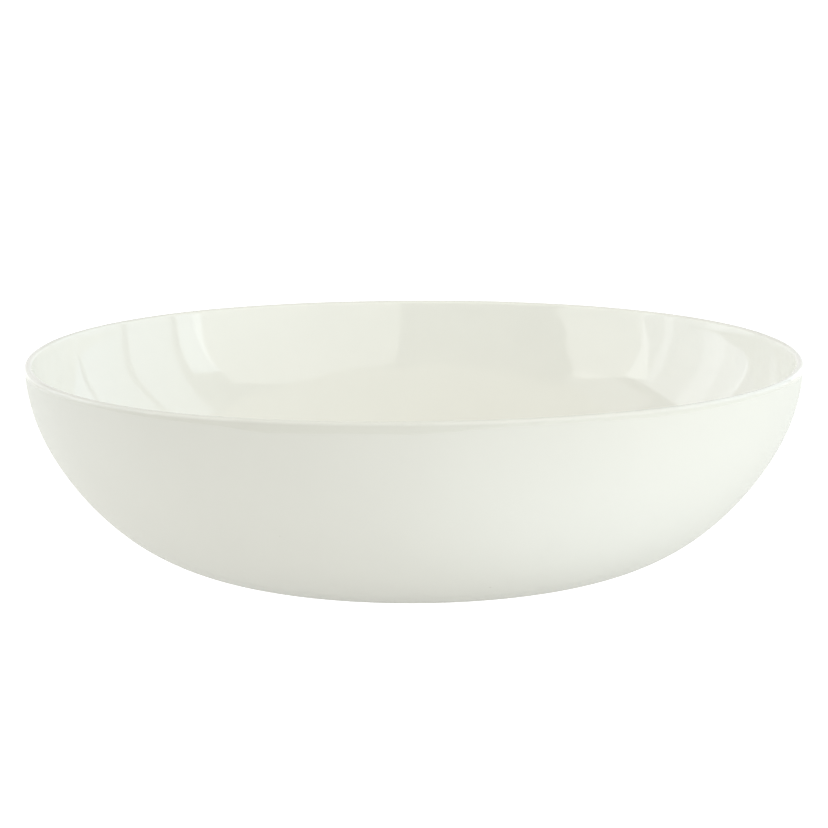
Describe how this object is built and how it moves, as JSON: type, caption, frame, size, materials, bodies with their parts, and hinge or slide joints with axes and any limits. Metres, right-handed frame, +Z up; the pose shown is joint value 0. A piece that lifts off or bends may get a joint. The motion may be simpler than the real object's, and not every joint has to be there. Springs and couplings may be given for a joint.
{
  "type": "serving bowl",
  "caption": "Wide round porcelain serving bowl with a steep curved wall, bare matte outside, glossy glazed inside and lip, and a low turned foot ring.",
  "frame": {"origin": "centre of the foot ring, on the table plane", "axes": "+Z up along the bowl's turning axis, out of its mouth; +X and +Y level"},
  "size_m": [0.305, 0.305, 0.0838],
  "materials": {
    "bare_porcelain": "matte",
    "gloss_glaze": "gloss"
  },
  "bodies": {
    "root": {"porcelain_body": "bare_porcelain", "gloss_glaze": "gloss_glaze"}
  },
  "joints": []
}
